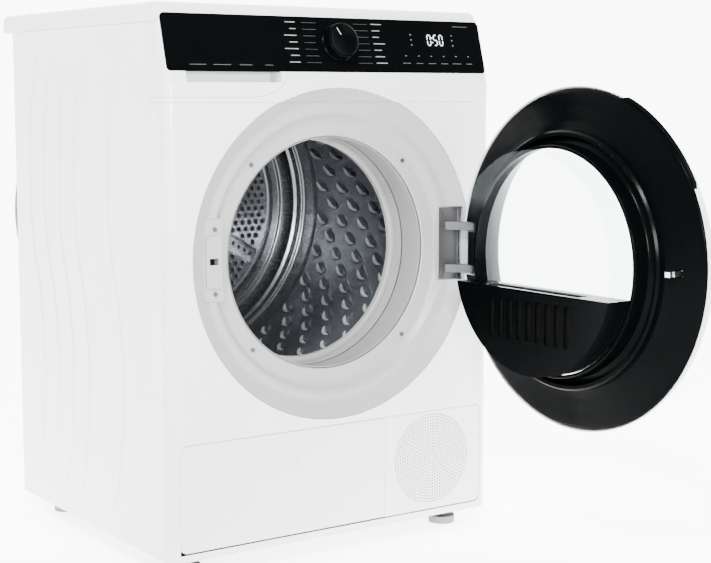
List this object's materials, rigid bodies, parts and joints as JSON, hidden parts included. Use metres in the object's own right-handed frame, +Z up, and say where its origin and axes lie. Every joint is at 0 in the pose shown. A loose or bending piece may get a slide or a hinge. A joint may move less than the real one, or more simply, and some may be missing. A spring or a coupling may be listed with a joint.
{
  "type": "clothes dryer",
  "caption": "Front-loading heat-pump clothes dryer with a round port door standing open, a pull-out water tank, a programme knob and a lower service flap beside a round air grille.",
  "frame": {"origin": "centre of the four feet, on the floor", "axes": "+X to the right of someone facing the front, -Y out of the front, +Z up"},
  "size_m": [0.6, 1.1202, 0.85],
  "materials": {
    "white_enamel": "gloss",
    "white_plastic": "satin",
    "side_enamel": "gloss",
    "black_glass": "gloss",
    "black_plastic": "gloss",
    "black_matt": "matt",
    "grey_plastic": "matt",
    "passage_plastic": "satin",
    "clear": "clear",
    "steel_drum": "brushed",
    "galvanised": "satin",
    "steel": "polished",
    "cast": "satin",
    "alu": "satin",
    "rubber": "matt",
    "grey_rubber": "matt",
    "felt": "felt",
    "board": "satin",
    "mesh": "woven",
    "tank_plastic": "satin"
  },
  "bodies": {
    "cabinet": {"air_grille": "white_plastic", "base_tray": "black_matt", "bearing_housing": "cast", "blower_housing": "grey_plastic", "compressor": "cast", "condenser": "alu", "control_board": "board", "control_glass": "black_glass", "cord_gland": "black_matt", "door_bezel": "white_plastic", "drain_plug": "rubber", "drain_spigot": "grey_plastic", "drive_belt": "rubber", "evaporator": "alu", "exchanger_cover": "grey_plastic", "exchanger_housing": "grey_plastic", "fascia_carrier": "white_plastic", "front_bulkhead": "passage_plastic", "front_felt": "felt", "front_panel": "white_enamel", "hinge_bracket": "steel", "kick_frame": "white_plastic", "latch_plate": "white_plastic", "left_side_panel": "side_enamel", "motor_body": "galvanised", "rear_duct_cover": "galvanised", "rear_panel": "galvanised", "right_side_panel": "side_enamel", "roller_axles": "steel", "screws": "steel", "tank_guide": "grey_plastic", "top_panel": "white_plastic"},
    "foot_front_left": {"foot_front_left": "grey_rubber"},
    "foot_front_right": {"foot_front_right": "grey_rubber"},
    "foot_rear_left": {"foot_rear_left": "grey_rubber"},
    "foot_rear_right": {"foot_rear_right": "grey_rubber"},
    "door": {"door_cover": "white_plastic", "door_inner_shell": "black_plastic", "door_window": "clear", "door_bowl": "clear", "filter_housing": "black_plastic", "door_seal": "rubber", "door_hinge": "black_matt", "latch_hook": "steel"},
    "filter": {"lint_filter": "mesh"},
    "drum": {"drum_shell": "steel_drum", "drum_back": "steel_drum", "drum_shaft": "steel"},
    "rotor": {"motor_shaft": "steel", "blower_wheel": "grey_plastic"},
    "tensioner": {"idler_arm": "galvanised"},
    "tension_wheel": {"idler_pulley": "black_matt"},
    "roller_left": {"support_roller_left": "grey_rubber"},
    "roller_right": {"support_roller_right": "grey_rubber"},
    "knob": {"selector_knob": "black_plastic"},
    "tank": {"tank_front": "white_plastic", "tank_trim": "black_glass", "water_tank": "tank_plastic"},
    "flap": {"service_flap": "white_plastic"},
    "button": {"flap_button": "white_plastic"}
  },
  "joints": [
    {"name": "foot_front_left_screw", "type": "hinge", "parent": "cabinet", "child": "foot_front_left", "pos_m": [-0.245, -0.215, 0.02], "axis": [0, 0, 1], "continuous": true},
    {"name": "foot_front_right_screw", "type": "hinge", "parent": "cabinet", "child": "foot_front_right", "pos_m": [0.245, -0.215, 0.02], "axis": [0, 0, 1], "continuous": true},
    {"name": "foot_rear_left_screw", "type": "hinge", "parent": "cabinet", "child": "foot_rear_left", "pos_m": [-0.245, 0.215, 0.02], "axis": [0, 0, 1], "continuous": true},
    {"name": "foot_rear_right_screw", "type": "hinge", "parent": "cabinet", "child": "foot_rear_right", "pos_m": [0.245, 0.215, 0.02], "axis": [0, 0, 1], "continuous": true},
    {"name": "door_hinge_turn", "type": "hinge", "parent": "cabinet", "child": "door", "pos_m": [0.25, -0.286, 0.471], "axis": [0, 0, 1], "range_deg": [-91.5, 70]},
    {"name": "filter_pull", "type": "slide", "parent": "door", "child": "filter", "axis": [0, 0, 1], "range_m": [0, 0.14]},
    {"name": "drum_turn", "type": "hinge", "parent": "cabinet", "child": "drum", "pos_m": [0, 0, 0.515], "axis": [0, 1, 0], "continuous": true},
    {"name": "rotor_turn", "type": "hinge", "parent": "cabinet", "child": "rotor", "pos_m": [0.205, 0.13, 0.15], "axis": [0, 1, 0], "continuous": true},
    {"name": "tensioner_swing", "type": "hinge", "parent": "cabinet", "child": "tensioner", "pos_m": [0.095, 0.035, 0.11], "axis": [0, 1, 0], "range_deg": [0, 12], "stiffness_Nm_per_rad": 3, "springref_deg": -17.19},
    {"name": "tension_wheel_turn", "type": "hinge", "parent": "tensioner", "child": "tension_wheel", "pos_m": [0.14646, 0.025, 0.13703], "axis": [0, 1, 0], "continuous": true},
    {"name": "roller_left_turn", "type": "hinge", "parent": "cabinet", "child": "roller_left", "pos_m": [-0.19363, -0.161, 0.26717], "axis": [0, 1, 0], "continuous": true},
    {"name": "roller_right_turn", "type": "hinge", "parent": "cabinet", "child": "roller_right", "pos_m": [0.19363, -0.161, 0.26717], "axis": [0, 1, 0], "continuous": true},
    {"name": "knob_turn", "type": "hinge", "parent": "cabinet", "child": "knob", "pos_m": [0.008, -0.25283, 0.795], "axis": [0, -0.9626, 0.271], "continuous": true},
    {"name": "tank_pull", "type": "slide", "parent": "cabinet", "child": "tank", "axis": [0, -1, 0], "range_m": [0, 0.4]},
    {"name": "flap_turn", "type": "hinge", "parent": "cabinet", "child": "flap", "pos_m": [-0.1, -0.2645, 0.049], "axis": [1, 0, 0], "range_deg": [0, 90]},
    {"name": "button_press", "type": "slide", "parent": "flap", "child": "button", "axis": [0, 1, 0], "range_m": [0, 0.003], "stiffness_N_per_m": 400, "springref_m": -0.002}
  ],
  "couplings": [
    {"joint": "rotor_turn", "follows": "drum_turn", "ratio": 22.724},
    {"joint": "tension_wheel_turn", "follows": "drum_turn", "ratio": -15.41},
    {"joint": "roller_left_turn", "follows": "drum_turn", "ratio": -7.9474},
    {"joint": "roller_right_turn", "follows": "drum_turn", "ratio": -7.9474}
  ]
}
